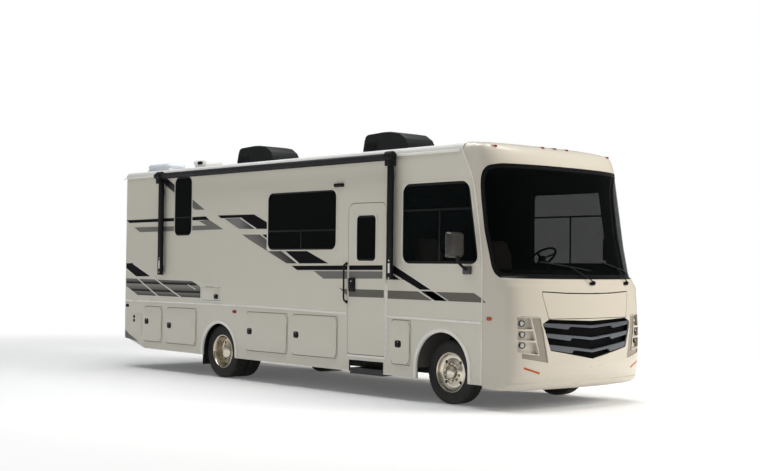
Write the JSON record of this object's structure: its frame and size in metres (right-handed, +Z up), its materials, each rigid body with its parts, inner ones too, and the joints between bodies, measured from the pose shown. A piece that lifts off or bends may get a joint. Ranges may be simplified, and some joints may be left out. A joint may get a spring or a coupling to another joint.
{
  "type": "class A motorhome",
  "caption": "Class A motorhome with a ladder chassis, steered front wheels, twin rear wheels, hinged entry and baggage doors, stowed awning and roof air conditioners.",
  "frame": {"origin": "on the ground under the middle of the vehicle's box, between its sides", "axes": "+X forward, +Y to the vehicle's left, +Z up"},
  "size_m": [9.01, 3.365, 3.65],
  "materials": {
    "frame_paint": "satin",
    "cast_iron": "rough",
    "tank_black": "matte",
    "exhaust_steel": "dull",
    "rubber": "matte",
    "floor_board": "sealed",
    "body_paint": "gloss",
    "roof_skin": "satin",
    "front_paint": "gloss",
    "tinted_glass": "polished",
    "gloss_black": "gloss",
    "lamp_clear": "polished",
    "lamp_red": "gloss",
    "cab_plastic": "grained",
    "seat_leather": "grained",
    "vent_white": "satin",
    "wheel_bright": "rubber tread on a polished steel rim"
  },
  "bodies": {
    "coach": {"chassis_frame": "frame_paint", "front_axle": "frame_paint", "rear_axle": "frame_paint", "leaf_springs": "frame_paint", "drive_shaft": "frame_paint", "engine": "cast_iron", "fuel_tank": "tank_black", "exhaust": "exhaust_steel", "rear_bumper": "frame_paint", "mud_flaps": "rubber", "floor": "floor_board", "engine_cover": "cab_plastic", "right_wall": "body_paint", "right_skirt": "body_paint", "left_wall": "body_paint", "left_skirt": "body_paint", "rear_wall": "body_paint", "roof": "roof_skin", "front_cap": "front_paint", "windshield": "tinted_glass", "grille": "gloss_black", "headlights": "lamp_clear", "tail_lights": "lamp_red", "right_windows": "tinted_glass", "left_windows": "tinted_glass", "dashboard": "cab_plastic", "cab_seats": "seat_leather", "right_mirror": "gloss_black", "left_mirror": "gloss_black", "wipers": "gloss_black", "awning": "gloss_black", "air_conditioners": "gloss_black", "roof_vents": "vent_white", "right_bays": "floor_board", "left_bays": "floor_board"},
    "entry_door": {"entry_door": "body_paint", "door_window": "tinted_glass"},
    "right_knuckle": {"right_knuckle": "frame_paint"},
    "left_knuckle": {"left_knuckle": "frame_paint"},
    "right_front_wheel": {"right_front_wheel": "wheel_bright"},
    "left_front_wheel": {"left_front_wheel": "wheel_bright"},
    "right_rear_wheels": {"right_rear_wheels": "wheel_bright"},
    "left_rear_wheels": {"left_rear_wheels": "wheel_bright"},
    "steering_wheel": {"steering_wheel": "cab_plastic"},
    "entry_step": {"entry_step": "frame_paint"},
    "hood_lid": {"hood_lid": "front_paint"},
    "water_hatch": {"water_hatch": "body_paint"},
    "right_bay_door_1": {"right_bay_door_1": "body_paint"},
    "right_bay_door_2": {"right_bay_door_2": "body_paint"},
    "right_bay_door_3": {"right_bay_door_3": "body_paint"},
    "right_bay_door_4": {"right_bay_door_4": "body_paint"},
    "right_bay_door_5": {"right_bay_door_5": "body_paint"},
    "left_bay_door_1": {"left_bay_door_1": "body_paint"},
    "left_bay_door_2": {"left_bay_door_2": "body_paint"},
    "left_bay_door_3": {"left_bay_door_3": "body_paint"},
    "left_bay_door_4": {"left_bay_door_4": "body_paint"},
    "left_bay_door_5": {"left_bay_door_5": "body_paint"}
  },
  "joints": [
    {"name": "right_steer", "type": "hinge", "parent": "coach", "child": "right_knuckle", "pos_m": [3.135, -0.86, 0.4], "axis": [0, 0, 1], "range_deg": [-32, 32]},
    {"name": "left_steer", "type": "hinge", "parent": "coach", "child": "left_knuckle", "pos_m": [3.135, 0.86, 0.4], "axis": [0, 0, 1], "range_deg": [-32, 32]},
    {"name": "steering_wheel_turn", "type": "hinge", "parent": "coach", "child": "steering_wheel", "pos_m": [3.265, 0.47, 1.85], "axis": [-0.6428, 0, 0.766], "range_deg": [-540, 540]},
    {"name": "right_front_roll", "type": "hinge", "parent": "right_knuckle", "child": "right_front_wheel", "pos_m": [3.135, -1, 0.4], "axis": [0, 1, 0], "continuous": true},
    {"name": "left_front_roll", "type": "hinge", "parent": "left_knuckle", "child": "left_front_wheel", "pos_m": [3.135, 1, 0.4], "axis": [0, 1, 0], "continuous": true},
    {"name": "right_rear_roll", "type": "hinge", "parent": "coach", "child": "right_rear_wheels", "pos_m": [-1.665, -0.962, 0.4], "axis": [0, 1, 0], "continuous": true},
    {"name": "left_rear_roll", "type": "hinge", "parent": "coach", "child": "left_rear_wheels", "pos_m": [-1.665, 0.962, 0.4], "axis": [0, 1, 0], "continuous": true},
    {"name": "entry_door_swing", "type": "hinge", "parent": "coach", "child": "entry_door", "pos_m": [2.1135, -1.2905, 1.5525], "axis": [0, 0, 1], "range_deg": [0, 95]},
    {"name": "entry_step_slide", "type": "slide", "parent": "coach", "child": "entry_step", "axis": [0, -1, 0], "range_m": [0, 0.26]},
    {"name": "hood_lift", "type": "hinge", "parent": "coach", "child": "hood_lid", "pos_m": [4.452, 0, 1.435], "axis": [0, -1, 0], "range_deg": [0, 75]},
    {"name": "water_hatch_lift", "type": "hinge", "parent": "coach", "child": "water_hatch", "pos_m": [-1.8745, -1.2905, 1.3805], "axis": [-1, 0, 0], "range_deg": [0, 100]},
    {"name": "right_bay_1_swing", "type": "hinge", "parent": "coach", "child": "right_bay_door_1", "pos_m": [-3.2306, -1.2905, 0.745], "axis": [0, 0, 1], "range_deg": [0, 95]},
    {"name": "right_bay_2_swing", "type": "hinge", "parent": "coach", "child": "right_bay_door_2", "pos_m": [-2.2515, -1.2905, 0.745], "axis": [0, 0, 1], "range_deg": [0, 95]},
    {"name": "right_bay_3_swing", "type": "hinge", "parent": "coach", "child": "right_bay_door_3", "pos_m": [0.045, -1.2905, 0.745], "axis": [0, 0, 1], "range_deg": [0, 95]},
    {"name": "right_bay_4_swing", "type": "hinge", "parent": "coach", "child": "right_bay_door_4", "pos_m": [1.1465, -1.2905, 0.745], "axis": [0, 0, 1], "range_deg": [0, 95]},
    {"name": "right_bay_5_swing", "type": "hinge", "parent": "coach", "child": "right_bay_door_5", "pos_m": [2.5865, -1.2905, 0.745], "axis": [0, 0, 1], "range_deg": [0, 95]},
    {"name": "left_bay_1_swing", "type": "hinge", "parent": "coach", "child": "left_bay_door_1", "pos_m": [-3.2306, 1.2905, 0.745], "axis": [0, 0, -1], "range_deg": [0, 95]},
    {"name": "left_bay_2_swing", "type": "hinge", "parent": "coach", "child": "left_bay_door_2", "pos_m": [-2.2515, 1.2905, 0.745], "axis": [0, 0, -1], "range_deg": [0, 95]},
    {"name": "left_bay_3_swing", "type": "hinge", "parent": "coach", "child": "left_bay_door_3", "pos_m": [0.045, 1.2905, 0.745], "axis": [0, 0, -1], "range_deg": [0, 95]},
    {"name": "left_bay_4_swing", "type": "hinge", "parent": "coach", "child": "left_bay_door_4", "pos_m": [1.1465, 1.2905, 0.745], "axis": [0, 0, -1], "range_deg": [0, 95]},
    {"name": "left_bay_5_swing", "type": "hinge", "parent": "coach", "child": "left_bay_door_5", "pos_m": [2.5865, 1.2905, 0.745], "axis": [0, 0, -1], "range_deg": [0, 95]}
  ],
  "couplings": [
    {"joint": "left_steer", "follows": "right_steer", "ratio": 1},
    {"joint": "steering_wheel_turn", "follows": "right_steer", "ratio": 16.875}
  ]
}
